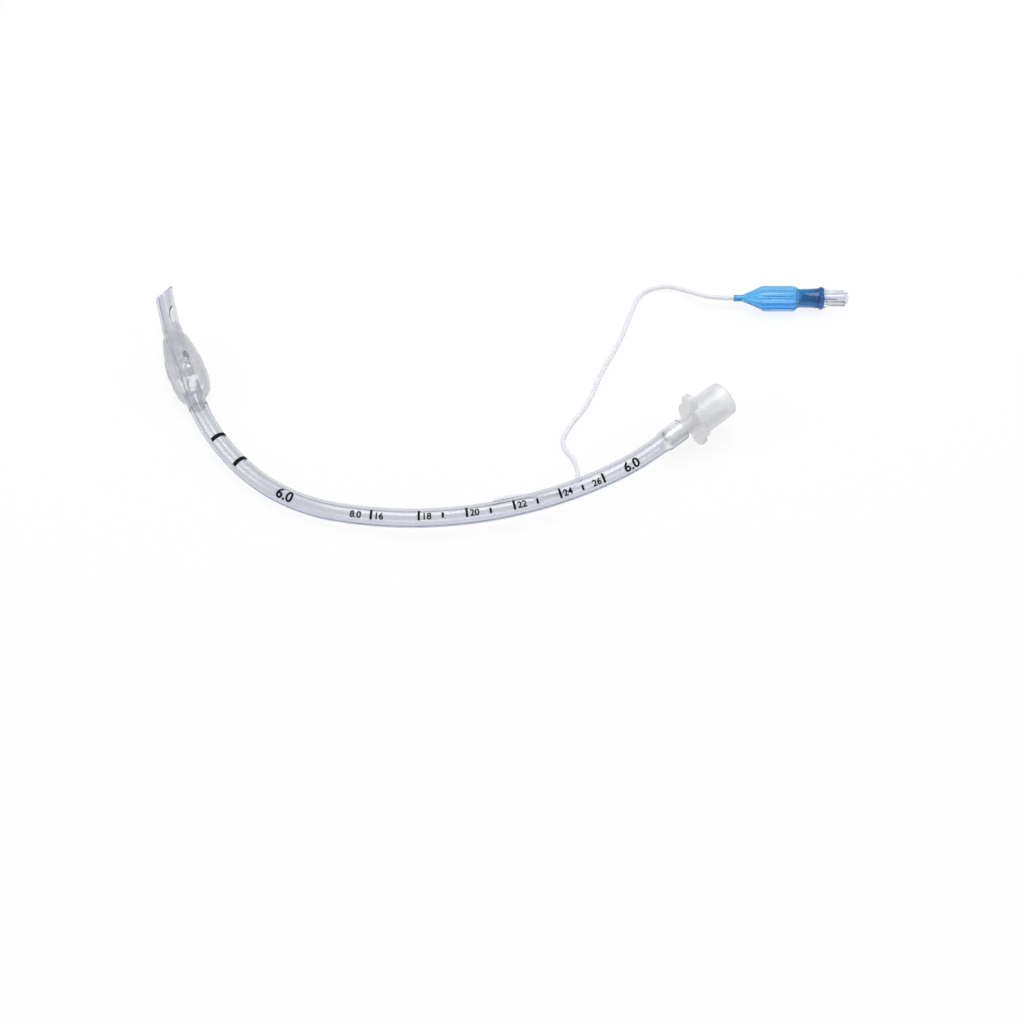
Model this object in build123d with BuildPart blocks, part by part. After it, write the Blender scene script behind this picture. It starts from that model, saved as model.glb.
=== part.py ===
"""Cuffed endotracheal tube, 6.0 mm bore, lying as it comes to rest on a table.

The tube lies in one flat plane, a little tilted, because the connector's lug lifts its machine end.
Lengths along the tube are measured from the long point of the bevelled tip. Angles round the tube
start at the inside of its bend and turn upwards.
+X runs from the cuff to the connector, +Z is up, and the origin is under the middle of the tube.
"""

from build123d import *
from math import cos, degrees, pi, radians, sin, tan
import os

# tube
bore_radius = 3.0
tube_radius = 4.0
tip_x, tip_y, tip_z = -124.4, 60.1, 8.8
tip_heading = -78.0
slope_x, slope_y = 0.0393, 0.0683
bends = [(28.8, 190.0), (27.7, 0.0), (48.3, 106.0), (45.0, 81.0), (120.0, 177.0), (19.5, 110.0)]
bevel_angle = 42.0
bevel_roll = 128.0
eye_length = 9.0
eye_width = 4.4
eye_start = 10.3

# radiopaque stripe let into the wall
stripe_width = 1.3
stripe_depth = 0.45
stripe_roll = 197.0

# machine end of the tube, straight and stretched over the connector's stem
grip_length = 8.5
flare_length = 3.5
flare_lead = 2.0
stem_radius = 3.7
grip_wall = 0.95

# inflation channel in the wall, its port under the cuff, and the notch for the line
channel_depth = 0.5
channel_width = 0.7
channel_cover = 0.25
channel_roll = 0.0
skive_start = 39.2
skive_length = 3.0
notch_start = 215.8
notch_depth = 0.55
notch_length = 8.0

# cuff
cuff_start = 23.3
cuff_length = 43.5
collar_length = 4.0
film = 0.22
film_lap = 0.5
film_tuck = 0.08
bond_gap = 0.02
slack_inside = 8.6
slack_outside = 7.5
slack_height = 6.1

# connector
stem_bore_radius = 2.9
stem_stands_out = 5.5
stem_setback = 0.5
stem_chamfer = 0.8
rim_chamfer = 0.5
flange_radius = 9.0
flange_thickness = 3.2
lug_reach = 13.5
lug_width = 8.0
lug_chamfer = 0.6
lug_roll = 65.0
cone_length = 15.0
cone_mouth_radius = 7.7
cone_taper = 1 / 40
mouth_chamfer = 0.4
socket_radius = 6.3
socket_floor = 0.8
socket_lead_in = 4.0

# inflation line
line_radius = 1.0
line_sides = 8

# pilot balloon, along its own axis from the neck
balloon_x, balloon_y = 132.0, 56.2
neck_length = 3.7
neck_wall = 0.45
taper_length = 10.6
full_length = 10.2
shoulder_length = 4.2
balloon_half_width = 6.5
balloon_half_height = 4.4
skin = 0.4
sleeve_length = 11.2
sleeve_wall = 0.45
sleeve_flare = 0.35
lip_radius = 5.1
lip_length = 1.4

# check valve in the sleeve
housing_radius = 3.7
chamber_radius = 2.15
seat_radius = 1.4
seat_thickness = 0.8
rim_radius = 4.6
rim_length = 1.0
port_length = 10.0
port_radius = 2.8
luer_mouth_radius = 2.15
luer_taper = 0.06
rib_reach = 3.9
rib_width = 2.2
rib_setback = 1.2
plunger_radius = 0.85
plunger_tip_depth = 4.5
plunger_travel = 1.5
tail_gap = 0.3
head_radius = 1.75
head_thickness = 0.8
seal_radius = 1.95
seal_thickness = 1.5
seal_gap = 0.02
spring_wire_radius = 0.2
spring_radius = 1.4
spring_turns = 7
wire_sides = 4
retainer_thickness = 1.6
retainer_boss = 1.0
vent_radius = 0.4


lay = Plane(
    origin=(tip_x, tip_y, tip_z),
    x_dir=(1, 0, slope_x),
    z_dir=(-slope_x, -slope_y, 1),
)


def axis_point(s):
    """Place on the lay plane and heading, s millimetres along the tube's axis from the tip."""
    x, y, heading = 0.0, 0.0, radians(tip_heading)
    for length, radius in bends:
        step = min(s, length)
        if radius:
            turn = step / radius
            x += radius * (sin(heading + turn) - sin(heading))
            y += radius * (cos(heading) - cos(heading + turn))
            heading += turn
        else:
            x += step * cos(heading)
            y += step * sin(heading)
        s -= step
        if s <= 0:
            return x, y, heading
    return x + s * cos(heading), y + s * sin(heading), heading


def station(s):
    """Plane across the tube: x to the inside of the bend, y up, z towards the machine end."""
    x, y, heading = axis_point(s)
    return Plane(
        origin=lay.from_local_coords((x, y, 0)),
        x_dir=lay.y_dir * cos(heading) - lay.x_dir * sin(heading),
        z_dir=lay.x_dir * cos(heading) + lay.y_dir * sin(heading),
    )


def outward(s, roll):
    """Direction at the angle roll round the tube."""
    across = station(s)
    return across.x_dir * cos(radians(roll)) + across.y_dir * sin(radians(roll))


def along(s, roll):
    """Plane through the tube's axis: x towards the machine end, y out of the wall at the angle roll."""
    across = station(s)
    out = outward(s, roll)
    return Plane(origin=across.origin, x_dir=across.z_dir, z_dir=across.z_dir.cross(out))


def run_section(start, end, section, mode=Mode.ADD):
    """Carry a section along the tube's axis, bend by bend."""
    passed = 0.0
    for length, radius in bends:
        first, last = max(start, passed), min(end, passed + length)
        passed += length
        if last <= first:
            continue
        across = station(first)
        with BuildSketch(across) as face:
            section()
        if radius:
            centre = across.origin + across.x_dir * radius
            turn = degrees((last - first) / radius)
            revolve(face.sketch, axis=Axis(centre, lay.z_dir), revolution_arc=turn, mode=mode)
        else:
            extrude(face.sketch, amount=last - first, mode=mode)


def ring(outer, inner):
    def section():
        Circle(outer)
        Circle(inner, mode=Mode.SUBTRACT)

    return section


def wall_strip(outer, depth, width, roll):
    """Sector of a wall, as deep as depth under its outer face."""
    span = degrees(width / outer)

    def section():
        with BuildLine() as outline:
            top = CenterArc((0, 0), outer, roll - span / 2, span)
            foot = CenterArc((0, 0), outer - depth, roll - span / 2, span)
            Line(top @ 0, foot @ 0)
            Line(top @ 1, foot @ 1)
        make_face(outline.edges())

    return section


bent_length = sum(length for length, radius in bends)
grip_start = bent_length + flare_lead + flare_length
tube_length = grip_start + grip_length
grip_radius = stem_radius + grip_wall
tube_axis_end = Axis(station(bent_length).origin, station(bent_length).z_dir)
channel_top = tube_radius - channel_cover
channel_reach = channel_top - channel_depth

bevel_normal = outward(0, bevel_roll) * cos(radians(bevel_angle)) - station(0).z_dir * sin(radians(bevel_angle))
bevel = Plane(origin=station(0).origin - outward(0, bevel_roll) * tube_radius, z_dir=bevel_normal)


# The line lies in a shallow notch in the wall and leaves it at a slant.
line_reach = tube_radius + line_radius - notch_depth
line_root = station(notch_start).origin + outward(notch_start, channel_roll) * line_reach
line_lift = (tube_radius + line_radius + 0.4) - line_reach
line_way = station(notch_start).z_dir * notch_length + outward(notch_start, channel_roll) * line_lift
line_exit = line_root + line_way

with BuildPart() as main_tube:
    run_section(0, bent_length, ring(tube_radius, bore_radius))
    with BuildSketch(along(bent_length, stripe_roll)):
        with BuildLine():
            Polyline(
                (0, bore_radius),
                (flare_lead, bore_radius),
                (flare_lead + flare_length, stem_radius),
                (flare_lead + flare_length + grip_length, stem_radius),
                (flare_lead + flare_length + grip_length, grip_radius),
                (flare_lead + flare_length, grip_radius),
                (flare_lead, tube_radius),
                (0, tube_radius),
                close=True,
            )
        make_face()
    revolve(axis=tube_axis_end)
    # groove that the stripe fills
    run_section(0, bent_length, wall_strip(tube_radius, stripe_depth, stripe_width, stripe_roll), Mode.SUBTRACT)
    # inflation channel and its port
    run_section(
        skive_start, notch_start, wall_strip(channel_top, channel_depth, channel_width, channel_roll), Mode.SUBTRACT
    )
    skive = along(skive_start, channel_roll)
    with BuildSketch(Plane(origin=skive.origin + skive.y_dir * channel_reach, x_dir=skive.x_dir, z_dir=skive.y_dir)):
        with Locations((skive_length / 2, 0)):
            SlotOverall(skive_length, channel_width)
    extrude(amount=tube_radius, mode=Mode.SUBTRACT)
    # notch for the line
    with BuildSketch(Plane(origin=line_root, z_dir=line_way)):
        Circle(line_radius)
    extrude(amount=2 * notch_length, mode=Mode.SUBTRACT)
    # eye opposite the bevel
    eye = along(eye_start + eye_length / 2, bevel_roll + 180)
    with BuildSketch(Plane(origin=eye.origin, x_dir=eye.x_dir, z_dir=eye.y_dir)):
        Ellipse(eye_length / 2, eye_width / 2)
    extrude(amount=2 * tube_radius, mode=Mode.SUBTRACT)
    split(bisect_by=bevel, keep=Keep.BOTTOM)

with BuildPart() as x_ray_line:
    run_section(0, bent_length, wall_strip(tube_radius, stripe_depth, stripe_width, stripe_roll))
    split(bisect_by=bevel, keep=Keep.BOTTOM)


# Slack film: each section is a flattened ring whose lobes are its folds.
def slack_section(share, folds, phase, shrink):
    """Section of the cuff. share runs from 0 at a collar to 1 at the widest part."""
    points = []
    count = 16
    for i in range(count):
        a = 2 * pi * i / count
        side = slack_inside if cos(a) > 0 else slack_outside
        wide = collar_radius - film_tuck + share * (side - collar_radius)
        high = collar_radius - film_tuck + share * (slack_height - collar_radius)
        fold = 1 + share * folds * sin(3 * a + phase)
        points.append(((wide * fold - shrink) * cos(a), (high * fold - shrink) * sin(a)))
    return points


cuff_end = cuff_start + cuff_length
collar_radius = tube_radius + bond_gap + 2 * film
cuff_sections = [
    (0.10, 0.50, 0.03, 0.0),
    (0.32, 0.80, 0.05, 0.4),
    (0.56, 1.00, 0.06, 1.1),
    (0.78, 0.94, 0.05, 1.9),
    (0.93, 0.60, 0.02, 2.4),
]


def film_loft(shrink, mode=Mode.ADD):
    sections = []
    for share_along, share, folds, phase in [(0, 0, 0, 0), *cuff_sections, (1, 0, 0, 0)]:
        free = cuff_length - 2 * collar_length
        s = cuff_start + collar_length + share_along * free
        with BuildSketch(station(s)) as face:
            with BuildLine():
                Polyline(*slack_section(share, folds, phase, shrink), close=True)
            make_face()
        sections.append(face.sketch)
    loft(sections, ruled=True, mode=mode)


with BuildPart() as cuff:
    film_loft(0)
    film_loft(film, Mode.SUBTRACT)
    collar = ring(collar_radius, tube_radius + bond_gap)
    run_section(cuff_start, cuff_start + collar_length + film_lap, collar)
    run_section(cuff_end - collar_length - film_lap, cuff_end, collar)


# The connector's lengths run from the tube's machine end.
flange_start = stem_stands_out
cone_start = flange_start + flange_thickness
mouth_end = cone_start + cone_length
cone_base_radius = cone_mouth_radius + cone_length * cone_taper / 2
stem_inset = grip_length - stem_setback
lead_in_start = flange_start + socket_floor
socket_start = lead_in_start + socket_lead_in

with BuildPart() as lugs:
    with BuildSketch(station(tube_length).offset(flange_start)):
        SlotOverall(2 * lug_reach, lug_width, rotation=lug_roll)
    extrude(amount=flange_thickness)
    flat_faces = lugs.faces().sort_by(tube_axis_end)
    chamfer(flat_faces[0].edges() + flat_faces[-1].edges(), lug_chamfer)

with BuildPart() as connector_15mm:
    side = along(tube_length, lug_roll)
    with BuildSketch(side):
        with BuildLine():
            Polyline(
                (-stem_inset, 0),
                (-stem_inset, stem_radius - stem_chamfer / 3),
                (-stem_inset + stem_chamfer, stem_radius),
                (flange_start, stem_radius),
                (flange_start, flange_radius - rim_chamfer),
                (flange_start + rim_chamfer, flange_radius),
                (cone_start - rim_chamfer, flange_radius),
                (cone_start, flange_radius - rim_chamfer),
                (cone_start, cone_base_radius),
                (mouth_end - mouth_chamfer, cone_mouth_radius),
                (mouth_end, cone_mouth_radius - mouth_chamfer),
                (mouth_end, 0),
                close=True,
            )
        make_face()
    revolve(axis=tube_axis_end)
    add(lugs)
    with BuildSketch(side):
        with BuildLine():
            Polyline(
                (-stem_inset, 0),
                (-stem_inset, stem_bore_radius),
                (lead_in_start, stem_bore_radius),
                (socket_start, socket_radius),
                (mouth_end, socket_radius),
                (mouth_end, 0),
                close=True,
            )
        make_face()
    revolve(axis=tube_axis_end, mode=Mode.SUBTRACT)


# Inflation line: hand-laid route from the notch to the balloon's neck.
axis_height = lip_radius
neck_end = (balloon_x + neck_length - 0.2, balloon_y, axis_height)
floor_run = line_radius + 0.02
line_points = [
    tuple(line_root),
    tuple(line_exit),
    (44.9, -44.4, 4.6),
    (53.7, -41.2, 1.6),
    (60.3, -35.2, floor_run),
    (59.1, -26.7, floor_run),
    (53.1, -19.2, floor_run),
    (55.1, -11.0, floor_run),
    (64.5, 1.2, floor_run),
    (70.5, 17.4, floor_run),
    (80.1, 35.2, floor_run),
    (84.5, 50.0, floor_run),
    (91.3, 61.6, floor_run),
    (102.7, 65.4, 1.4),
    (113.3, 60.0, 3.3),
    (122.7, balloon_y, axis_height),
    neck_end,
]


def corner_radii(points):
    """Arc at each corner, as large as its two runs allow."""
    radii = []
    for before, here, after in zip(points, points[1:], points[2:]):
        run_in = Vector(here) - Vector(before)
        run_out = Vector(after) - Vector(here)
        half_turn = radians(run_in.get_angle(run_out)) / 2
        radii.append(0.45 * min(run_in.length, run_out.length) / tan(half_turn))
    return radii


line_radii = corner_radii(line_points)
with BuildPart() as inflation_line:
    with BuildLine() as route:
        FilletPolyline(*line_points, radius=line_radii)
    with BuildSketch(Plane(origin=line_root, z_dir=line_way)):
        RegularPolygon(line_radius, line_sides)
    sweep()
line_length = route.wires()[0].length
line_section = line_sides / 2 * line_radius**2 * sin(2 * pi / line_sides)
print("line radii", [round(r, 1) for r in line_radii])
print("line length", round(line_length, 1), "volume", round(inflation_line.part.volume, 1))
print("section times length", round(line_section * line_length, 1))


def valve_plane(x):
    """Plane across the balloon and valve, x millimetres from the start of the neck."""
    return Plane(origin=(balloon_x + x, balloon_y, axis_height), x_dir=(0, 1, 0), z_dir=(1, 0, 0))


valve_side = Plane(origin=(balloon_x, balloon_y, axis_height), x_dir=(1, 0, 0), z_dir=(0, -1, 0))
valve_axis = Axis(valve_side.origin, (1, 0, 0))

shoulder_start = neck_length + taper_length + full_length
sleeve_start = shoulder_start + shoulder_length
lip_start = sleeve_start + sleeve_length - lip_length
rim_start = sleeve_start + sleeve_length
port_base = rim_start + rim_length
port_end = port_base + port_length
sleeve_radius = housing_radius + sleeve_wall
neck_radius = line_radius + neck_wall


def balloon_section(x, wide, high, facet):
    """Flattened ring of six soft facets across the balloon."""
    points = []
    count = 12
    for i in range(count):
        a = 2 * pi * i / count
        reach = 1 + facet * cos(6 * a)
        points.append((wide * cos(a) * reach, high * sin(a) * reach))
    with BuildSketch(valve_plane(x)) as face:
        with BuildLine():
            Polyline(*points, close=True)
        make_face()
    return face.sketch


def balloon_loft(shrink, mode=Mode.ADD):
    full_end = neck_length + taper_length + full_length
    sections = [
        balloon_section(neck_length, neck_radius - film_tuck - shrink, neck_radius - film_tuck - shrink, 0),
        balloon_section(
            neck_length + taper_length, balloon_half_width - shrink, balloon_half_height - shrink, 0.04
        ),
        balloon_section(full_end, balloon_half_width - shrink, balloon_half_height - shrink, 0.04),
        balloon_section(
            full_end + 0.7 * shoulder_length, 0.86 * balloon_half_width - shrink, balloon_half_height - shrink, 0.02
        ),
        balloon_section(sleeve_start, sleeve_radius - film_tuck - shrink, sleeve_radius - film_tuck - shrink, 0),
    ]
    loft(sections, ruled=True, mode=mode)


with BuildPart() as pilot_balloon:
    balloon_loft(0)
    balloon_loft(skin, Mode.SUBTRACT)
    with BuildSketch(valve_plane(0)):
        Circle(neck_radius)
        Circle(line_radius, mode=Mode.SUBTRACT)
    extrude(amount=neck_length + film_lap)
    with BuildSketch(valve_side):
        with BuildLine():
            Polyline(
                (sleeve_start - film_lap, housing_radius),
                (rim_start, housing_radius),
                (rim_start, lip_radius),
                (lip_start, lip_radius),
                (lip_start, sleeve_radius + sleeve_flare),
                (sleeve_start, sleeve_radius),
                (sleeve_start - film_lap, sleeve_radius),
                close=True,
            )
        make_face()
    revolve(axis=valve_axis)

seat_start = rim_start - seat_thickness
luer_root_radius = luer_mouth_radius - luer_taper / 2 * (port_end - rim_start)
with BuildPart() as valve_housing:
    with BuildSketch(valve_plane(sleeve_start)):
        Circle(housing_radius)
    extrude(amount=rim_start - sleeve_start)
    with BuildSketch(valve_plane(rim_start)):
        Circle(rim_radius)
    extrude(amount=rim_length)
    with BuildSketch(valve_plane(port_base)):
        Circle(port_radius)
    extrude(amount=port_length)
    with BuildSketch(valve_plane(port_base)):
        Circle(rib_reach)
        Rectangle(2 * rib_reach, rib_width, mode=Mode.INTERSECT)
    extrude(amount=port_length - rib_setback)
    with BuildSketch(valve_side):
        with BuildLine():
            Polyline(
                (sleeve_start, 0),
                (sleeve_start, chamber_radius),
                (seat_start, chamber_radius),
                (seat_start, seat_radius),
                (rim_start, seat_radius),
                (rim_start, luer_root_radius),
                (port_end, luer_mouth_radius),
                (port_end, 0),
                close=True,
            )
        make_face()
    revolve(axis=valve_axis, mode=Mode.SUBTRACT)

with BuildPart() as valve_retainer:
    with BuildSketch(valve_plane(sleeve_start)):
        Circle(chamber_radius)
        with PolarLocations((plunger_radius + chamber_radius) / 2, 3):
            Circle(vent_radius, mode=Mode.SUBTRACT)
    extrude(amount=retainer_thickness)
    with BuildSketch(valve_plane(sleeve_start + retainer_thickness)):
        Circle(plunger_radius)
    extrude(amount=retainer_boss)

seal_end = seat_start - seal_gap
head_end = seal_end - seal_thickness
head_start = head_end - head_thickness
tail_start = sleeve_start + retainer_thickness + retainer_boss + plunger_travel + tail_gap
with BuildPart() as valve_plunger:
    with BuildSketch(valve_plane(tail_start)):
        Circle(plunger_radius)
    extrude(amount=port_end - plunger_tip_depth - tail_start)
    with BuildSketch(valve_plane(head_start)):
        Circle(head_radius)
    extrude(amount=head_thickness)

with BuildPart() as valve_seal:
    with BuildSketch(valve_plane(head_end)):
        Circle(seal_radius)
        Circle(plunger_radius, mode=Mode.SUBTRACT)
    extrude(amount=seal_thickness)

# Each half turn of the spring is a flat half ring, tilted so that it climbs half the pitch.
spring_start = sleeve_start + retainer_thickness + spring_wire_radius + seal_gap
spring_rise = (head_start - spring_wire_radius - seal_gap - spring_start) / (2 * spring_turns)
with BuildPart() as valve_spring:
    for i in range(2 * spring_turns):
        side = 1 if i % 2 == 0 else -1
        foot = valve_plane(spring_start + i * spring_rise)
        wire_start = foot.origin + foot.x_dir * side * spring_radius
        half_turn_axis = foot.z_dir * 2 * spring_radius + foot.x_dir * side * spring_rise
        centre = foot.origin + foot.z_dir * spring_rise / 2
        with BuildSketch(Plane(origin=wire_start, x_dir=foot.z_dir, z_dir=foot.y_dir * side)):
            RegularPolygon(spring_wire_radius, wire_sides)
        revolve(axis=Axis(centre, half_turn_axis), revolution_arc=180)

os.makedirs("parts", exist_ok=True)
pieces = {
    "main_tube": main_tube,
    "x_ray_line": x_ray_line,
    "cuff": cuff,
    "connector_15mm": connector_15mm,
    "inflation_line": inflation_line,
    "pilot_balloon": pilot_balloon,
    "valve_housing": valve_housing,
    "valve_retainer": valve_retainer,
    "valve_plunger": valve_plunger,
    "valve_seal": valve_seal,
    "valve_spring": valve_spring,
}
for name, piece in pieces.items():
    piece.part.label = name
    export_step(piece.part, f"parts/{name}.step")
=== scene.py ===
"""Cuffed clear airway tube with its line, pilot balloon and check valve, lying on a white table."""

import math

import bmesh
import bpy
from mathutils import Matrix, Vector


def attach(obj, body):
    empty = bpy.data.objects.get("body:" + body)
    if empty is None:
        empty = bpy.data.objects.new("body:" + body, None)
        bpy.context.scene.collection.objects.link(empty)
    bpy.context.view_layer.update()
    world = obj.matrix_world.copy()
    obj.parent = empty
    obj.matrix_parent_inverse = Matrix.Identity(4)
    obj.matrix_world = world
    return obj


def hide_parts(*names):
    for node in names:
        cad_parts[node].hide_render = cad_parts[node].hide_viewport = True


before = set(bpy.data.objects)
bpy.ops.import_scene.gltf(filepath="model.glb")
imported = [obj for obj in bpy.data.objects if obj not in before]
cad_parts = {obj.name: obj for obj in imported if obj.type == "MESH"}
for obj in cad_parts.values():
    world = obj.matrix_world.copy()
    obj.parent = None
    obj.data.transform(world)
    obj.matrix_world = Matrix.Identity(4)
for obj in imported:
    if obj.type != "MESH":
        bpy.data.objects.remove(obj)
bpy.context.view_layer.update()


# Camera. It looks down at the table from the valve's side, high enough that the tube's bend shows
# almost in its true shape.
camera_data = bpy.data.cameras.new("camera")
camera_data.lens = 50.27
camera_data.sensor_width = 36.0
camera = bpy.data.objects.new("camera", camera_data)
camera.location = (0.0323, -0.3397, 0.521)
camera.rotation_euler = (math.radians(29.0), 0.0, 0.0)
bpy.context.scene.collection.objects.link(camera)
bpy.context.scene.camera = camera


# Table and light. A white sheet under soft lamps from above and both sides, and a pale room,
# so that the clear plastics have something bright to pass on and something darker at their edges.
def new_material(name):
    """An empty node material with its output, for a piece to fill in."""
    material = bpy.data.materials.new(name)
    material.use_nodes = True
    nodes = material.node_tree.nodes
    nodes.clear()
    output = nodes.new("ShaderNodeOutputMaterial")
    return material, nodes, material.node_tree.links, output


table_whiteness = 0.92
# share of plain white that the camera, glass and gloss see in place of the lit sheet
white_share = 0.84

table_white, nodes, links, output = new_material("table white")
paper = nodes.new("ShaderNodeBsdfDiffuse")
paper.inputs["Color"].default_value = (table_whiteness, table_whiteness, table_whiteness, 1.0)
glow = nodes.new("ShaderNodeEmission")
glow.inputs["Color"].default_value = (1.0, 1.0, 1.0, 1.0)
glow.inputs["Strength"].default_value = 1.0
ray = nodes.new("ShaderNodeLightPath")
seen = nodes.new("ShaderNodeMath")
seen.operation = "MAXIMUM"
links.new(ray.outputs["Is Camera Ray"], seen.inputs[0])
links.new(ray.outputs["Is Transmission Ray"], seen.inputs[1])
mirrored = nodes.new("ShaderNodeMath")
mirrored.operation = "MAXIMUM"
links.new(seen.outputs[0], mirrored.inputs[0])
links.new(ray.outputs["Is Glossy Ray"], mirrored.inputs[1])
share = nodes.new("ShaderNodeMath")
share.operation = "MULTIPLY"
share.inputs[1].default_value = white_share
links.new(mirrored.outputs[0], share.inputs[0])
mix = nodes.new("ShaderNodeMixShader")
links.new(share.outputs[0], mix.inputs["Fac"])
links.new(paper.outputs["BSDF"], mix.inputs[1])
links.new(glow.outputs["Emission"], mix.inputs[2])
links.new(mix.outputs["Shader"], output.inputs["Surface"])

bpy.ops.mesh.primitive_plane_add(size=6.0, location=(0.03, 0.0, 0.0))
table = bpy.context.object
table.name = "table"
table.data.materials.append(table_white)

world = bpy.data.worlds.new("room")
world.use_nodes = True
world.node_tree.nodes["Background"].inputs["Color"].default_value = (0.93, 0.95, 1.0, 1.0)
world.node_tree.nodes["Background"].inputs["Strength"].default_value = 0.50
bpy.context.scene.world = world

# each lamp faces the middle of the table
for name, place, size, power in (
    ("lamp over the table", (0.05, 0.25, 0.9), 0.6, 4.8),
    ("lamp at the left", (-0.9, -0.1, 0.6), 0.5, 2.2),
    ("lamp at the right", (0.9, 0.3, 0.5), 0.4, 1.6),
):
    lamp_data = bpy.data.lights.new(name, "AREA")
    lamp_data.size = size
    lamp_data.energy = power
    lamp = bpy.data.objects.new(name, lamp_data)
    lamp.location = place
    lamp.rotation_euler = (-Vector(place)).to_track_quat("-Z", "Y").to_euler()
    bpy.context.scene.collection.objects.link(lamp)

bpy.context.scene.view_settings.view_transform = "Standard"


# Main tube. Clear soft PVC, 6 mm bore and 8 mm outside, extruded and then set in its bend. The tip is
# cut to a bevel and polished, an eye is punched in the wall opposite, and the machine end is stretched
# over the connector's stem.

# Lengths along the tube are in millimetres from the long point of the tip. Angles round it start at
# the inside of the bend and turn upwards.
mm = 0.001
tube_radius = 4.0
bore_radius = 3.0
tip = Vector((-124.4, 60.1, 8.8))
tip_heading = math.radians(-78.0)
# the bend lies in one plane, tilted a little because the connector's lug lifts the machine end
lay_up = Vector((-0.0393, -0.0683, 1.0)).normalized()
lay_x = Vector((1.0, 0.0, 0.0393)).normalized()
lay_y = lay_up.cross(lay_x)
# arcs from the tip to the machine end, as length and radius, where a radius of 0 is straight
bends = [(28.8, 190.0), (27.7, 0.0), (48.3, 106.0), (45.0, 81.0), (120.0, 177.0), (19.5, 110.0)]
flare_start = 291.3
grip_start = 294.8
tube_end = 303.3
grip_radius = 4.65
stem_radius = 3.7
stem_clearance = 0.03


def tube_frame(s):
    """Point on the tube's axis, with the directions to the inside of the bend, up and onwards."""
    x, y, heading = 0.0, 0.0, tip_heading
    left = s
    for length, radius in bends:
        step = min(left, length)
        if radius:
            turn = step / radius
            x += radius * (math.sin(heading + turn) - math.sin(heading))
            y += radius * (math.cos(heading) - math.cos(heading + turn))
            heading += turn
        else:
            x += step * math.cos(heading)
            y += step * math.sin(heading)
        left -= step
        if left <= 0:
            break
    x += left * math.cos(heading)
    y += left * math.sin(heading)
    onwards = lay_x * math.cos(heading) + lay_y * math.sin(heading)
    inwards = lay_y * math.cos(heading) - lay_x * math.sin(heading)
    return tip + lay_x * x + lay_y * y, inwards, lay_up, onwards


def on_tube(s, roll, reach):
    """Point in metres at a length along the tube, an angle round it and a distance from its axis."""
    centre, inwards, up, onwards = tube_frame(s)
    out = inwards * math.cos(math.radians(roll)) + up * math.sin(math.radians(roll))
    return (centre + out * reach) * mm


def swell(s):
    """How far the tube has widened towards its grip on the connector's stem, from 0 to 1."""
    t = min(max((s - flare_start) / (grip_start - flare_start), 0.0), 1.0)
    return t * t * (3 - 2 * t)


def outer_radius(s):
    """Outside of the tube's wall."""
    return tube_radius + (grip_radius - tube_radius) * swell(s)


def inner_radius(s):
    """Inside of the tube's wall."""
    return bore_radius + (stem_radius + stem_clearance - bore_radius) * swell(s)


def add_object(name, mesh, material, smooth=True):
    """Link a mesh as one piece of the root body, with its material."""
    piece = bpy.data.objects.new(name, mesh)
    bpy.context.scene.collection.objects.link(piece)
    mesh.materials.append(material)
    if smooth:
        mesh.shade_smooth()
    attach(piece, "root")
    return piece


def rings_mesh(name, rings, close_ends=False, closed_loop=False):
    """Mesh through a list of rings of points, each ring with the same count."""
    mesh = bpy.data.meshes.new(name)
    count = len(rings[0])
    points = [p for one in rings for p in one]
    faces = []
    last = len(rings) if closed_loop else len(rings) - 1
    for i in range(last):
        a, b = i * count, ((i + 1) % len(rings)) * count
        for j in range(count):
            k = (j + 1) % count
            faces.append((a + j, a + k, b + k, b + j))
    if close_ends:
        faces.append(tuple(reversed(range(count))))
        faces.append(tuple(range(len(points) - count, len(points))))
    mesh.from_pydata([tuple(p) for p in points], [], faces)
    mesh.update()
    return mesh


def face_outwards(mesh):
    """Turn a closed mesh's faces outwards."""
    work = bmesh.new()
    work.from_mesh(mesh)
    bmesh.ops.recalc_face_normals(work, faces=work.faces)
    work.to_mesh(mesh)
    work.free()


def surface_grain(nodes, links, shader, grain, least, most, relief):
    """Uneven polish and faint relief, as a mould or a die leaves them.

    Grain is the size of the unevenness and relief its depth, both in millimetres. Least and most are
    the roughness that it runs between.
    """
    place = nodes.new("ShaderNodeTexCoord")
    mottle = nodes.new("ShaderNodeTexNoise")
    mottle.inputs["Scale"].default_value = 1.0 / (grain * mm)
    mottle.inputs["Detail"].default_value = 3.0
    links.new(place.outputs["Object"], mottle.inputs["Vector"])
    polish = nodes.new("ShaderNodeMapRange")
    polish.inputs["From Min"].default_value = 0.3
    polish.inputs["From Max"].default_value = 0.7
    polish.inputs["To Min"].default_value = least
    polish.inputs["To Max"].default_value = most
    links.new(mottle.outputs["Fac"], polish.inputs["Value"])
    links.new(polish.outputs["Result"], shader.inputs["Roughness"])
    bump = nodes.new("ShaderNodeBump")
    bump.inputs["Strength"].default_value = 1.0
    bump.inputs["Distance"].default_value = relief * mm
    links.new(mottle.outputs["Fac"], bump.inputs["Height"])
    links.new(bump.outputs["Normal"], shader.inputs["Normal"])


def new_finish(name, colour, grain, least, most, relief):
    """Material in one colour with its grain, and its shader for what is special to it."""
    material, nodes, links, output = new_material(name)
    shader = nodes.new("ShaderNodeBsdfPrincipled")
    shader.inputs["Base Color"].default_value = (*colour, 1.0)
    links.new(shader.outputs["BSDF"], output.inputs["Surface"])
    surface_grain(nodes, links, shader, grain, least, most, relief)
    return material, shader


def tinted_through(nodes, links, output, tint, density):
    """Colour that deepens with the thickness of the wall. Density is per metre."""
    depth = nodes.new("ShaderNodeVolumeAbsorption")
    depth.inputs["Color"].default_value = (*tint, 1.0)
    depth.inputs["Density"].default_value = density
    links.new(depth.outputs["Volume"], output.inputs["Volume"])


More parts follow.
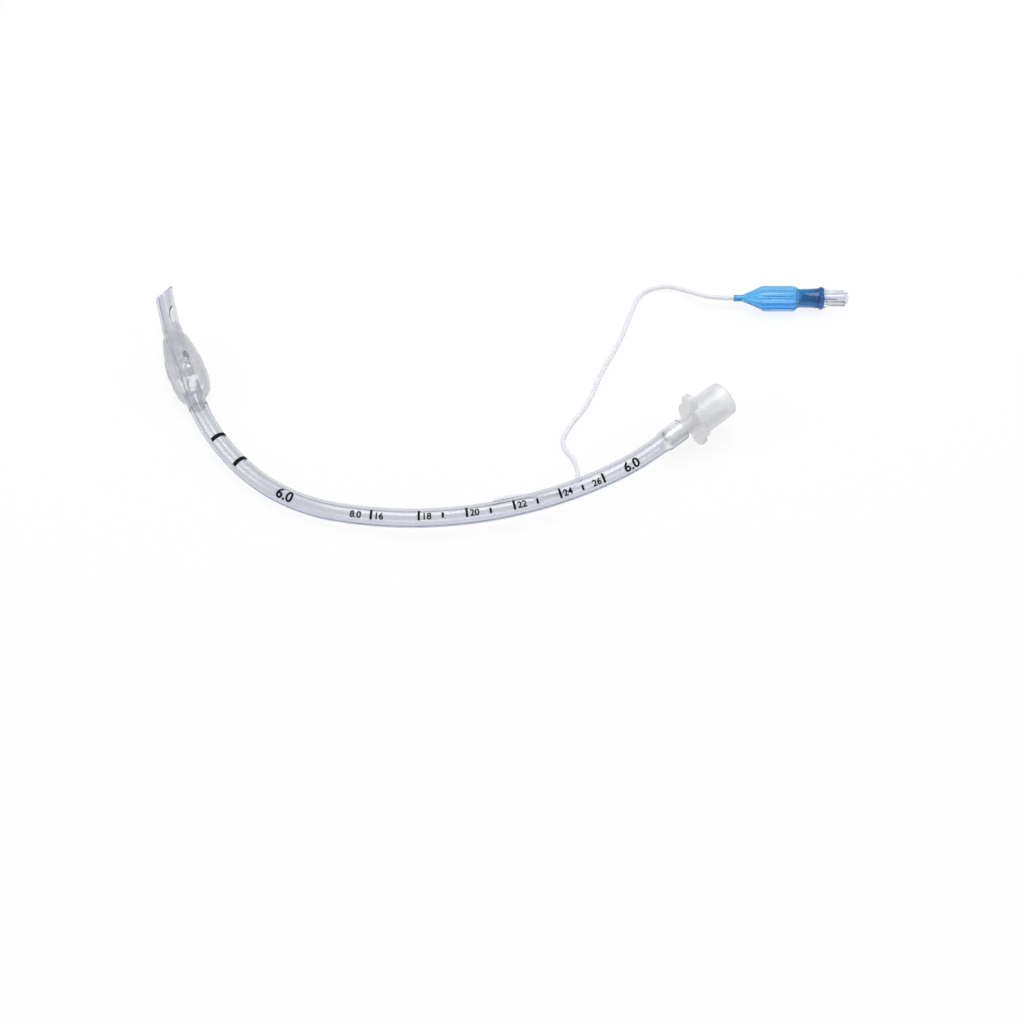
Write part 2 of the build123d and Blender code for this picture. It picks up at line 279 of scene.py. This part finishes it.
def lets_lamps_through(nodes, links, shader, output, tint):
    """Clear plastic that passes the lamps' light on to what is in and under it, in its shadow's tint."""
    passing = nodes.new("ShaderNodeBsdfTransparent")
    passing.inputs["Color"].default_value = (*tint, 1.0)
    ray = nodes.new("ShaderNodeLightPath")
    mix = nodes.new("ShaderNodeMixShader")
    links.new(ray.outputs["Is Shadow Ray"], mix.inputs["Fac"])
    links.new(shader.outputs["BSDF"], mix.inputs[1])
    links.new(passing.outputs["BSDF"], mix.inputs[2])
    links.new(mix.outputs["Shader"], output.inputs["Surface"])


def tone_along(nodes, links, shader, first, last, before, after):
    """Colour that changes from one tone to another between two places along X, in millimetres."""
    place = nodes.new("ShaderNodeTexCoord")
    axes = nodes.new("ShaderNodeSeparateXYZ")
    links.new(place.outputs["Object"], axes.inputs["Vector"])
    along = nodes.new("ShaderNodeMapRange")
    along.inputs["From Min"].default_value = first * mm
    along.inputs["From Max"].default_value = last * mm
    links.new(axes.outputs["X"], along.inputs["Value"])
    # a mix of colours has its factor in socket 0, its two colours in 6 and 7, and its result in 2
    tones = nodes.new("ShaderNodeMix")
    tones.data_type = "RGBA"
    links.new(along.outputs["Result"], tones.inputs[0])
    tones.inputs[6].default_value = (*before, 1.0)
    tones.inputs[7].default_value = (*after, 1.0)
    links.new(tones.outputs[2], shader.inputs["Base Color"])


# The wall is stretched thinner where it grips the connector. Its colour is painted white there, as painted
# light on the stem, which shows in shade through the grip.
clear_pvc, nodes, links, output = new_material("clear soft PVC")
plastic = nodes.new("ShaderNodeBsdfPrincipled")
grip_x = tube_frame(grip_start)[0].x
# painted light: the colour goes to white over the grip to brighten the stem seen through it
tone_along(nodes, links, plastic, grip_x - 1.5, grip_x + 1.0, (0.83, 0.84, 0.875), (1.0, 1.0, 1.0))
plastic.inputs["IOR"].default_value = 1.5
plastic.inputs["Transmission Weight"].default_value = 1.0
lets_lamps_through(nodes, links, plastic, output, (0.97, 0.97, 0.98))
surface_grain(nodes, links, plastic, 7.0, 0.07, 0.13, 0.002)
tinted_through(nodes, links, output, (0.0, 0.04, 0.16), 50.0)

bevel_slope = 1.0 / math.tan(math.radians(43.5))
bevel_roll = 128.0
bevel_overrun = 1.0
tip_zone = 13.0
tip_steps = 8
round_steps = 90
station_step = 0.65
lip_length = 0.5
# the cut's rounded edges set back this far from its face, at the bore and at the outside
bore_edge, outer_edge = 0.30, 0.35


def bevel_start(roll, reach):
    """Where the slanted cut meets a line along the wall. The polished point runs out past the cut."""
    return (reach * math.cos(math.radians(roll - bevel_roll)) + tube_radius) * bevel_slope - bevel_overrun


def tube_ring(s, reach):
    """Ring of points square to the tube's axis."""
    return [on_tube(s, r, reach) for r in rolls]


def tip_ring(share, reach, edge):
    """Ring that is as slanted as the cut at a share of 0, and square at 1, where the plain tube starts."""
    ring = []
    for r in rolls:
        start = bevel_start(r, reach) + edge
        ring.append(on_tube(start + (tip_zone - start) * share, r, reach))
    return ring


rolls = [360.0 * j / round_steps for j in range(round_steps)]
station_count = int((tube_end - lip_length - tip_zone) / station_step)
stations = [tip_zone + station_step * i for i in range(1, station_count + 1)]
# the cut's polished face, from the bore to the outside
cut_face = [(bore_radius, bore_edge), (3.15, 0.08), (3.5, 0.0), (3.85, 0.08), (tube_radius, outer_edge)]
rings = [tip_ring(0.0, reach, edge) for reach, edge in cut_face]
# outside of the wall
rings += [tip_ring(step / tip_steps, tube_radius, outer_edge) for step in range(1, tip_steps + 1)]
rings += [tube_ring(s, outer_radius(s)) for s in stations]
# rounded lip at the machine end, as distance back from it and reach
for back, reach in (
    (0.35, grip_radius),
    (0.1, grip_radius - 0.08),
    (0.0, grip_radius - 0.3),
    (0.0, stem_radius + 0.3),
    (0.1, stem_radius + 0.05),
):
    rings.append(tube_ring(tube_end - back, reach))
# inside of the wall, back to the tip
rings += [tube_ring(s, inner_radius(s)) for s in reversed(stations)]
rings += [tip_ring(step / tip_steps, bore_radius, bore_edge) for step in range(tip_steps, 0, -1)]
tube_mesh = rings_mesh("main_tube_wall", rings, closed_loop=True)
face_outwards(tube_mesh)
main_tube = add_object("main_tube_wall", tube_mesh, clear_pvc)
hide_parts("main_tube")


def cut_with(piece, cutter):
    """Take one solid out of another and remove the cutter."""
    cut = piece.modifiers.new("cut", "BOOLEAN")
    cut.operation = "DIFFERENCE"
    cut.solver = "EXACT"
    cut.object = cutter
    bpy.context.view_layer.update()
    result = bpy.data.meshes.new_from_object(piece.evaluated_get(bpy.context.evaluated_depsgraph_get()))
    piece.modifiers.clear()
    piece.data = result
    piece.data.shade_smooth()
    bpy.data.objects.remove(cutter)


def cutter_from(rings):
    """Closed cutter through a list of rings."""
    mesh = rings_mesh("cutter", rings, close_ends=True)
    face_outwards(mesh)
    cutter = bpy.data.objects.new("cutter", mesh)
    bpy.context.scene.collection.objects.link(cutter)
    return cutter


def oval_cutter(s, roll, length, width, low, high):
    """Oval plug that stands across the wall, from a low to a high reach."""
    centre, inwards, up, onwards = tube_frame(s)
    out = inwards * math.cos(math.radians(roll)) + up * math.sin(math.radians(roll))
    across = onwards.cross(out)
    oval = []
    for j in range(48):
        a = 2 * math.pi * j / 48
        oval.append(onwards * length / 2 * math.cos(a) + across * width / 2 * math.sin(a))
    return cutter_from([[(centre + out * reach + side) * mm for side in oval] for reach in (low, high)])


eye_place, eye_roll = 14.8, 308.0
eye_length, eye_width = 9.0, 4.4
cut_with(main_tube, oval_cutter(eye_place, eye_roll, eye_length, eye_width, 1.0, 6.0))

# The inflation channel runs inside the wall from its port under the cuff to the line's notch. It
# starts at the port's side of the wall and comes round to the inside of the bend.
port_roll = 50.0
channel_reach = 3.5
channel_radius = 0.27
channel_start, channel_end = 39.2, 216.8
channel_turn = 30.0
channel_step = 2.0
channel_sides = 10
rings = []
s = channel_start
while s <= channel_end:
    ring = []
    centre_roll = port_roll * max(0.0, 1.0 - (s - channel_start) / channel_turn)
    for j in range(channel_sides):
        a = 2 * math.pi * j / channel_sides
        # a little wider than it is deep
        aside = math.degrees(channel_radius * 1.3 * math.sin(a) / channel_reach)
        ring.append(on_tube(s, centre_roll + aside, channel_reach + channel_radius * math.cos(a)))
    rings.append(ring)
    s += channel_step
channel_mesh = rings_mesh("inflation_channel", rings, close_ends=True)
face_outwards(channel_mesh)
channel_mesh.flip_normals()
channel_wall, plastic = new_finish("channel wall", (0.96, 0.96, 0.98), 1.0, 0.1, 0.2, 0.004)
plastic.inputs["IOR"].default_value = 1.5
plastic.inputs["Transmission Weight"].default_value = 1.0
add_object("inflation_channel", channel_mesh, channel_wall)


# Radiopaque line. A thin stripe of blue compound, extruded into the wall along the outside of the
# bend, so that the tube shows on an X-ray. It runs to the machine end and widens with the wall there.
stripe_blue, _ = new_finish("blue compound", (0.33, 0.43, 0.74), 0.8, 0.3, 0.45, 0.01)

stripe_roll = 199.0
stripe_half = math.degrees(0.55 / tube_radius)
stripe_depth = 0.25
stripe_proud = 0.004
stripe_step = 1.25
stripe_spread = [stripe_half * j / 3 for j in range(-3, 4)]
rings = []
s = bevel_start(stripe_roll, tube_radius) + 0.8
while s <= tube_end - 0.4:
    outside = outer_radius(s)
    ring = [on_tube(s, stripe_roll + off, outside + stripe_proud) for off in stripe_spread]
    ring += [on_tube(s, stripe_roll - off, outside - stripe_depth) for off in stripe_spread]
    rings.append(ring)
    s += stripe_step
stripe_mesh = rings_mesh("radiopaque_stripe", rings, close_ends=True)
face_outwards(stripe_mesh)
stripe = add_object("radiopaque_stripe", stripe_mesh, stripe_blue)
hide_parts("x_ray_line")


# Inflation line. Limp milky PVC tubing, 2 mm thick, bonded into a notch in the tube's wall and
# laid in loose bends on the table up to the pilot balloon, where it goes into the neck.
line_milky, plastic = new_finish("milky soft PVC", (0.90, 0.905, 0.93), 1.5, 0.28, 0.42, 0.01)
plastic.inputs["Transmission Weight"].default_value = 0.2
plastic.inputs["IOR"].default_value = 1.45

line_radius = 1.0
notch_start = 215.8
notch_depth = 0.55
notch_clearance = 0.03
notch_reach = tube_radius + line_radius - notch_depth
centre, inwards, up, onwards = tube_frame(notch_start)
line_root = centre + inwards * notch_reach
# after 8 mm along the tube the line has lifted clear of its wall
line_exit = line_root + onwards * 8.0 + inwards * (tube_radius + line_radius + 0.4 - notch_reach)
# the line's route, from the notch across the table to the middle of the balloon's neck
line_points = [
    line_root,
    line_exit,
    Vector((44.4, -45.6, 4.4)),
    Vector((55.4, -41.8, 2.6)),
    Vector((60.6, -35.4, 1.02)),
    Vector((59.1, -26.7, 1.02)),
    Vector((53.1, -19.2, 1.02)),
    Vector((55.7, -11.0, 1.02)),
    Vector((65.1, 1.2, 1.02)),
    Vector((71.0, 17.4, 1.02)),
    Vector((80.4, 35.2, 1.02)),
    Vector((85.7, 50.6, 1.02)),
    Vector((90.6, 62.8, 1.02)),
    Vector((102.7, 66.6, 1.4)),
    Vector((113.3, 60.9, 3.3)),
    Vector((122.7, 56.2, 5.1)),
    Vector((135.5, 56.2, 5.1)),
]
line_curve = bpy.data.curves.new("inflation_line_tubing", "CURVE")
line_curve.dimensions = "3D"
spline = line_curve.splines.new("NURBS")
spline.points.add(len(line_points) - 1)
for point, place in zip(spline.points, line_points):
    point.co = (*(place * mm), 1.0)
spline.order_u = 3
spline.use_endpoint_u = True
spline.resolution_u = 12
line_curve.bevel_depth = line_radius * mm
line_curve.bevel_resolution = 5
line_curve.use_fill_caps = True
line_curve.materials.append(line_milky)
line = bpy.data.objects.new("inflation_line_tubing", line_curve)
bpy.context.scene.collection.objects.link(line)
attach(line, "root")
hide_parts("inflation_line")

# The wall is cut away under the line's first few millimetres.
way = (line_exit - line_root).normalized()
side = way.cross(lay_up).normalized()
lift = side.cross(way)
rings = []
for along in (-1.0, 14.0):
    ring = []
    for j in range(24):
        a = 2 * math.pi * j / 24
        out = (side * math.cos(a) + lift * math.sin(a)) * (line_radius + notch_clearance)
        ring.append((line_root + way * along + out) * mm)
    rings.append(ring)
cut_with(main_tube, cutter_from(rings))


# Print. Black ink on the upper side, read along the tube: two guide bands above the cuff, the bore and
# the outside diameter in millimetres, and the depth from the tip in centimetres.
print_ink, plastic = new_finish("black ink", (0.004, 0.004, 0.005), 0.3, 0.6, 0.85, 0.004)
plastic.inputs["Specular IOR Level"].default_value = 0.15

ink_reach = tube_radius + 0.025
# the flat print is divided this finely so that it can wrap round the wall
wrap_step = 0.35
prints = bmesh.new()


def print_flat(flat, s_start, roll_start):
    """Wrap a flat mesh, in millimetres, round the tube.

    Its x runs along the tube and its y round it, to the inside of the bend.
    """
    low = min(v.co.y for v in flat.verts)
    high = max(v.co.y for v in flat.verts)
    cut = low + wrap_step
    while cut < high:
        geometry = flat.verts[:] + flat.edges[:] + flat.faces[:]
        bmesh.ops.bisect_plane(flat, geom=geometry, plane_co=(0, cut, 0), plane_no=(0, 1, 0))
        cut += wrap_step
    for v in flat.verts:
        roll = roll_start - math.degrees(v.co.y / tube_radius)
        v.co = on_tube(s_start + v.co.x, roll, ink_reach)
    part = bpy.data.meshes.new("print")
    flat.to_mesh(part)
    prints.from_mesh(part)
    bpy.data.meshes.remove(part)
    flat.free()


def print_bar(s, roll, width, height):
    """A stroke round the tube, centred on a place on its wall."""
    flat = bmesh.new()
    corners = [(-1, -1), (1, -1), (1, 1), (-1, 1)]
    flat.faces.new([flat.verts.new((x * width / 2, y * height / 2, 0)) for x, y in corners])
    print_flat(flat, s, roll)


def print_number(text, s, roll, size):
    """Digits that read along the tube, centred on a place on its wall."""
    curve = bpy.data.curves.new("digits", "FONT")
    curve.body = text
    curve.size = size
    curve.align_x = "CENTER"
    curve.align_y = "CENTER"
    curve.resolution_u = 4
    # strokes as bold as the ink's
    curve.offset = 0.03 * size
    carrier = bpy.data.objects.new("digits", curve)
    bpy.context.scene.collection.objects.link(carrier)
    bpy.context.view_layer.update()
    mesh = bpy.data.meshes.new_from_object(carrier.evaluated_get(bpy.context.evaluated_depsgraph_get()))
    flat = bmesh.new()
    flat.from_mesh(mesh)
    bpy.data.objects.remove(carrier)
    print_flat(flat, s, roll)


# guide bands
for s in (85.8, 101.4):
    print_bar(s, 70.0, 1.9, 8.2)
# depth from the tip, with the number before or after its bar
number_gap, number_turn, number_size = 3.2, 9.0, 3.9
for number, s, roll, after in (
    (16, 165.0, 102.0, 1),
    (18, 184.6, 98.0, 1),
    (20, 204.2, 98.0, 1),
    (22, 223.8, 102.0, 1),
    (24, 243.2, 108.0, 1),
    (26, 262.2, 116.0, -1),
):
    print_bar(s, roll, 1.0, 4.3)
    print_number(str(number), s + after * number_gap, roll + number_turn, number_size)
# ticks halfway between
for s, roll in ((194.4, 102.0), (214.0, 108.0), (233.4, 114.0), (252.8, 122.0)):
    print_bar(s, roll, 0.95, 2.3)
# bore and outside diameter
print_number("6.0", 127.6, 106.0, 6.2)
print_number("8.0", 158.6, 112.0, number_size)
print_number("6.0", 275.2, 122.0, 5.8)

print_mesh = bpy.data.meshes.new("tube_print")
prints.to_mesh(print_mesh)
prints.free()
add_object("tube_print", print_mesh, print_ink, smooth=False)


# Cuff. A sleeve of thin clear PVC film, welded to the wall with a collar at each end and left slack
# between them, so that it lies in long folds round the tube.
def milky_through(nodes, links, shader, output, facing, edge, tint, polish):
    """Milky plastic. Part of the light goes straight through, less where a wall is seen edge on.

    Facing and edge are the milky shares face on and edge on, and polish is the roughness of its gloss.
    """
    passing = nodes.new("ShaderNodeBsdfTransparent")
    passing.inputs["Color"].default_value = (*tint, 1.0)
    slant = nodes.new("ShaderNodeLayerWeight")
    slant.inputs["Blend"].default_value = 0.35
    solid = nodes.new("ShaderNodeMapRange")
    solid.inputs["To Min"].default_value = facing
    solid.inputs["To Max"].default_value = edge
    links.new(slant.outputs["Facing"], solid.inputs["Value"])
    mix = nodes.new("ShaderNodeMixShader")
    links.new(solid.outputs["Result"], mix.inputs["Fac"])
    links.new(passing.outputs["BSDF"], mix.inputs[1])
    links.new(shader.outputs["BSDF"], mix.inputs[2])
    gloss = nodes.new("ShaderNodeBsdfGlossy")
    gloss.inputs["Roughness"].default_value = polish
    sheen = nodes.new("ShaderNodeMapRange")
    sheen.inputs["To Min"].default_value = 0.03
    sheen.inputs["To Max"].default_value = 0.35
    links.new(slant.outputs["Facing"], sheen.inputs["Value"])
    shine = nodes.new("ShaderNodeMixShader")
    links.new(sheen.outputs["Result"], shine.inputs["Fac"])
    links.new(mix.outputs["Shader"], shine.inputs[1])
    links.new(gloss.outputs["BSDF"], shine.inputs[2])
    links.new(shine.outputs["Shader"], output.inputs["Surface"])


cuff_film, nodes, links, output = new_material("clear cuff film")
film = nodes.new("ShaderNodeBsdfPrincipled")
film.inputs["Base Color"].default_value = (0.66, 0.665, 0.69, 1.0)
milky_through(nodes, links, film, output, 0.11, 0.55, (0.985, 0.985, 0.99), 0.14)
surface_grain(nodes, links, film, 3.0, 0.15, 0.30, 0.02)

cuff_start, cuff_end = 23.3, 66.8
collar_reach = 4.28
film_thickness = 0.1
# place along the tube, reach to the outside, to the inside and upwards
cuff_shape = [
    (27.3, 4.28, 4.28, 4.28),
    (30.0, 5.6, 5.6, 5.2),
    (34.8, 6.3, 6.8, 5.7),
    (38.8, 6.9, 7.6, 6.0),
    (42.8, 7.6, 8.3, 6.1),
    (46.8, 7.7, 8.6, 6.1),
    (50.8, 7.5, 8.8, 6.1),
    (54.8, 7.3, 8.4, 6.0),
    (58.8, 6.6, 7.6, 5.6),
    (61.0, 5.6, 6.2, 5.0),
    (62.8, 4.28, 4.28, 4.28),
]
slack_start, slack_end = cuff_shape[0][0], cuff_shape[-1][0]
# long folds: start and end along the tube, start and end round it, height, half width in degrees
cuff_folds = [
    (28.0, 48.0, 116.0, 92.0, 0.55, 8.0),
    (28.0, 60.0, 150.0, 132.0, 0.60, 8.0),
    (30.0, 61.0, 168.0, 158.0, 0.50, 7.0),
    (28.0, 52.0, 186.0, 178.0, 0.45, 9.0),
    (44.0, 62.0, 92.0, 112.0, 0.50, 8.0),
    (30.0, 58.0, 40.0, 16.0, 0.40, 12.0),
    (36.0, 62.0, 336.0, 350.0, 0.50, 10.0),
    (29.0, 60.0, 232.0, 246.0, 0.50, 12.0),
    (30.0, 61.0, 292.0, 280.0, 0.45, 12.0),
]
# oval crease on the upper side: its middle, and its half length in millimetres and degrees
oval_place, oval_roll, oval_length, oval_turn = 49.5, 84.0, 3.6, 34.0


def degrees_from(roll, middle):
    """Turn from one place round the tube to another, from -180 to 180."""
    return (roll - middle + 180.0) % 360.0 - 180.0


def tent(x):
    """Sharp crease with sides that run out."""
    return max(0.0, 1.0 - abs(x)) ** 1.4


def film_reach(s, roll):
    """Distance of the slack film from the tube's axis."""
    if s <= slack_start or s >= slack_end:
        return collar_reach
    for before, after in zip(cuff_shape, cuff_shape[1:]):
        if s <= after[0]:
            t = (s - before[0]) / (after[0] - before[0])
            outside, inside, up = (before[k] + (after[k] - before[k]) * t for k in (1, 2, 3))
            break
    a = math.radians(roll)
    side = inside if math.cos(a) > 0 else outside
    reach = 1 / math.sqrt((math.cos(a) / side) ** 2 + (math.sin(a) / up) ** 2)
    slack = min(1.0, (s - slack_start) / 3.0, (slack_end - s) / 3.0)
    for first, last, roll_first, roll_last, height, half in cuff_folds:
        if first < s < last:
            t = (s - first) / (last - first)
            off = degrees_from(roll, roll_first + (roll_last - roll_first) * t)
            reach += slack * height * math.sin(math.pi * t) ** 0.6 * tent(off / half)
    oval = math.hypot((s - oval_place) / oval_length, degrees_from(roll, oval_roll) / oval_turn)
    reach += 0.9 * tent((oval - 1.0) / 0.22) - (0.35 * (1 - oval) if oval < 1 else 0.0)
    # faint ripples
    reach += 0.05 * slack * math.sin(0.9 * s + 5 * a) + 0.03 * slack * math.sin(1.7 * s - 9 * a)
    return max(reach, collar_reach)


film_count = 180
film_step = 0.4
film_edge = 0.1
film_rolls = [360.0 / film_count * j for j in range(film_count)]
film_places = [cuff_start, cuff_start + film_edge]
while film_places[-1] < cuff_end - 0.5:
    film_places.append(film_places[-1] + film_step)
film_places += [cuff_end - film_edge, cuff_end]
reaches = []
for s in film_places:
    drop = 0.2 if s in (cuff_start, cuff_end) else 0.0
    reaches.append([film_reach(s, r) - drop for r in film_rolls])
# the creases are eased a little, as film has some stiffness
eased = [list(row) for row in reaches]
for i in range(2, len(reaches) - 2):
    for j in range(film_count):
        beside = reaches[i][j - 1] + reaches[i][(j + 1) % film_count]
        around = beside + reaches[i - 1][j] + reaches[i + 1][j]
        eased[i][j] = 0.5 * reaches[i][j] + 0.125 * around
reaches = eased
film_clearance = 0.03
rings = []
for s, row in zip(film_places, reaches):
    rings.append([on_tube(s, r, reach) for r, reach in zip(film_rolls, row)])
for s, row in reversed(list(zip(film_places, reaches))[1:-1]):
    ring = []
    for r, reach in zip(film_rolls, row):
        ring.append(on_tube(s, r, max(reach - film_thickness, tube_radius + film_clearance)))
    rings.append(ring)
cuff_mesh = rings_mesh("cuff_film_sleeve", rings, closed_loop=True)
face_outwards(cuff_mesh)
cuff = add_object("cuff_film_sleeve", cuff_mesh, cuff_film)
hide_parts("cuff")

# The port into the inflation channel lies under the film, cut through the wall, with a dark blue plug set
# in the cut.
port_blue, _ = new_finish("dark blue tint", (0.02, 0.07, 0.17), 0.5, 0.25, 0.4, 0.01)
port_place = 40.9
port_half_length, port_half_width = 2.05, 1.35
port_floor, port_face = 3.35, 3.75
rings = []
for reach, share in ((port_floor, 1.0), (port_face, 1.0), (port_face, 0.1)):
    ring = []
    for j in range(32):
        a = 2 * math.pi * j / 32
        off = math.degrees(port_half_width * share * math.sin(a) / reach)
        ring.append(on_tube(port_place + port_half_length * share * math.cos(a), port_roll + off, reach))
    rings.append(ring)
port_mesh = rings_mesh("cuff_port", rings, close_ends=True)
face_outwards(port_mesh)
hole_length, hole_width = 4.2, 2.75
cut_with(main_tube, oval_cutter(port_place, port_roll, hole_length, hole_width, 3.3, 5.0))
add_object("cuff_port", port_mesh, port_blue)


# Connector. A milky polypropylene moulding: the stem pushed into the tube, a round flange with two
# grip lugs, and the 15 mm cone with its open socket.
milky_moulding, nodes, links, output = new_material("milky polypropylene")
plastic = nodes.new("ShaderNodeBsdfPrincipled")
plastic.inputs["Base Color"].default_value = (0.86, 0.86, 0.87, 1.0)
milky_through(nodes, links, plastic, output, 0.30, 0.85, (0.975, 0.975, 0.975), 0.42)
surface_grain(nodes, links, plastic, 1.2, 0.28, 0.40, 0.012)


def finish_node(name, material, angle=35.0):
    """Give a moulded node its material and soften the shading of its curved faces."""
    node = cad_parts[name]
    node.data.materials.clear()
    node.data.materials.append(material)
    node.data.shade_smooth()
    node.data.set_sharp_from_angle(angle=math.radians(angle))


finish_node("connector_15mm", milky_moulding)


# Pilot balloon. Two sheets of azure film welded into a flat bag, with a neck round the line at one
# end and a soft sleeve with a rolled lip round the valve at the other.
balloon_x, balloon_y, balloon_z = 132.0, 56.2, 5.1
azure_film, nodes, links, output = new_material("azure film")
film = nodes.new("ShaderNodeBsdfPrincipled")
# the sleeve round the valve is a deeper blue than the bag
sleeve_x = balloon_x + 27.8
tone_along(nodes, links, film, sleeve_x, sleeve_x + 1.8, (0.78, 0.90, 1.0), (0.36, 0.68, 0.80))
film.inputs["IOR"].default_value = 1.45
film.inputs["Transmission Weight"].default_value = 0.96
lets_lamps_through(nodes, links, film, output, (0.45, 0.75, 0.98))
surface_grain(nodes, links, film, 3.0, 0.03, 0.08, 0.006)
tinted_through(nodes, links, output, (0.0, 0.72, 0.93), 2600.0)

# corners of the full section, as angle round the axis and reach
balloon_corners = [
    (0.0, 6.45),
    (46.0, 5.4),
    (98.0, 4.75),
    (150.0, 5.35),
    (182.5, 5.7),
    (226.0, 5.3),
    (262.0, 4.6),
    (312.0, 5.2),
]
# soft pleats in the film, as angle, depth and half width in degrees
balloon_pleats = [
    (72.0, 0.22, 8.0),
    (116.0, 0.30, 7.0),
    (132.0, 0.22, 6.0),
    (166.0, 0.28, 5.0),
    (205.0, 0.3, 8.0),
    (285.0, 0.25, 9.0),
]


def valve_point(x, across, up):
    """Point in metres, x millimetres from the start of the balloon's neck along its axis."""
    return Vector((balloon_x + x, balloon_y + across, balloon_z + up)) * mm


# how the film's thickness changes round the bag, as angle, change and half width in degrees: it is thinned
# along the top and on the ridges as a painted highlight, and thickened in the pleats as painted shade
balloon_painted_shading = [
    (48.0, -0.7, 28.0),
    (98.0, -0.5, 9.0),
    (116.0, 1.1, 8.0),
    (133.0, 1.2, 6.0),
    (150.0, -0.8, 5.0),
    (166.0, 1.3, 7.0),
    (312.0, -0.5, 26.0),
]
weld_first, weld_last, weld_width = 181.0, 184.0, 1.4
balloon_round = 288


def balloon_ring(x, radius, full, shrink=0.0):
    """Section of the balloon: a circle that turns into the flat-sided section as full goes from 0 to 1.

    Shrink is the film's thickness for the inside, and 0 for the outside, which has the weld's edge.
    """
    ring = []
    for j in range(balloon_round):
        roll = 360.0 / balloon_round * j
        for k, (corner, reach) in enumerate(balloon_corners):
            following, reach_after = balloon_corners[(k + 1) % len(balloon_corners)]
            following += 360.0 if k == len(balloon_corners) - 1 else 0.0
            if corner <= roll <= following:
                # straight side between two corners
                a, b = math.radians(corner), math.radians(following)
                ax, ay = reach * math.cos(a), reach * math.sin(a)
                bx, by = reach_after * math.cos(b), reach_after * math.sin(b)
                c = math.radians(roll)
                flat = (ax * by - ay * bx) / (math.cos(c) * (by - ay) - math.sin(c) * (bx - ax))
                bulge = 0.22 * math.sin(math.pi * (roll - corner) / (following - corner))
                break
        for pleat, deep, half in balloon_pleats:
            bulge -= deep * max(0.0, 1.0 - abs(roll - pleat) / half) * full ** 3
        if not shrink and weld_first < roll < weld_last:
            bulge += weld_width * full ** 2
        wall = shrink
        # the wall is thinned and thickened round the bag for painted highlights and painted shade
        for shading_roll, change, half in balloon_painted_shading:
            wall += shrink * change * max(0.0, 1.0 - abs(roll - shading_roll) / half) * full
        c = math.radians(roll)
        reach = (radius + (flat + bulge - radius) * full) - wall
        ring.append(valve_point(x, reach * math.cos(c), reach * math.sin(c)))
    return ring


# place along the axis, radius where it is round, share of the full section, thickness
balloon_profile = [
    (0.0, 1.40, 0.0, 0.37),
    (0.15, 1.45, 0.0, 0.42),
    (3.6, 1.45, 0.0, 0.42),
    (4.2, 1.50, 0.03, 0.40),
    (8.4, 1.50, 0.48, 0.35),
    (12.2, 1.50, 0.93, 0.35),
    (12.9, 1.50, 0.985, 0.35),
    (13.7, 1.50, 1.0, 0.35),
    (20.0, 1.50, 1.0, 0.35),
    (25.4, 1.50, 1.0, 0.35),
    (26.4, 4.15, 0.97, 0.35),
    (27.3, 4.15, 0.82, 0.35),
    (28.2, 4.15, 0.50, 0.35),
    (28.8, 4.15, 0.18, 0.38),
    (29.4, 4.15, 0.0, 0.42),
    (34.0, 4.22, 0.0, 0.49),
    (37.6, 4.45, 0.0, 0.72),
    (38.3, 4.65, 0.0, 0.92),
    (38.55, 4.98, 0.0, 1.2),
    (38.9, 5.08, 0.0, 1.3),
    (39.5, 5.08, 0.0, 1.3),
    (39.9, 4.85, 0.0, 1.1),
]
rings = [balloon_ring(x, radius, full) for x, radius, full, wall in balloon_profile]
rings += [balloon_ring(x, radius, full, wall) for x, radius, full, wall in reversed(balloon_profile)]
balloon_mesh = rings_mesh("pilot_balloon_film", rings, closed_loop=True)
face_outwards(balloon_mesh)
balloon = add_object("pilot_balloon_film", balloon_mesh, azure_film)
balloon_mesh.set_sharp_from_angle(angle=math.radians(45.0))
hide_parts("pilot_balloon")


# Check valve. A clear hard housing with the syringe port, a white retainer and plunger, a black
# rubber seal and a small coil spring of bright wire.
clear_moulding, nodes, links, output = new_material("clear hard plastic")
plastic = nodes.new("ShaderNodeBsdfPrincipled")
plastic.inputs["Base Color"].default_value = (0.80, 0.81, 0.86, 1.0)
plastic.inputs["IOR"].default_value = 1.48
plastic.inputs["Transmission Weight"].default_value = 0.94
lets_lamps_through(nodes, links, plastic, output, (0.92, 0.92, 0.94))
surface_grain(nodes, links, plastic, 1.5, 0.03, 0.07, 0.003)

white_moulding, _ = new_finish("white plastic", (0.78, 0.79, 0.81), 0.4, 0.3, 0.42, 0.008)
seal_rubber, _ = new_finish("black rubber", (0.02, 0.02, 0.022), 0.2, 0.5, 0.75, 0.015)
spring_wire, metal = new_finish("drawn steel wire", (0.55, 0.56, 0.58), 0.15, 0.18, 0.32, 0.004)
metal.inputs["Metallic"].default_value = 1.0

finish_node("valve_housing", clear_moulding)
finish_node("valve_retainer", white_moulding)
finish_node("valve_plunger", white_moulding)
finish_node("valve_seal", seal_rubber)
finish_node("valve_spring", spring_wire, angle=60.0)
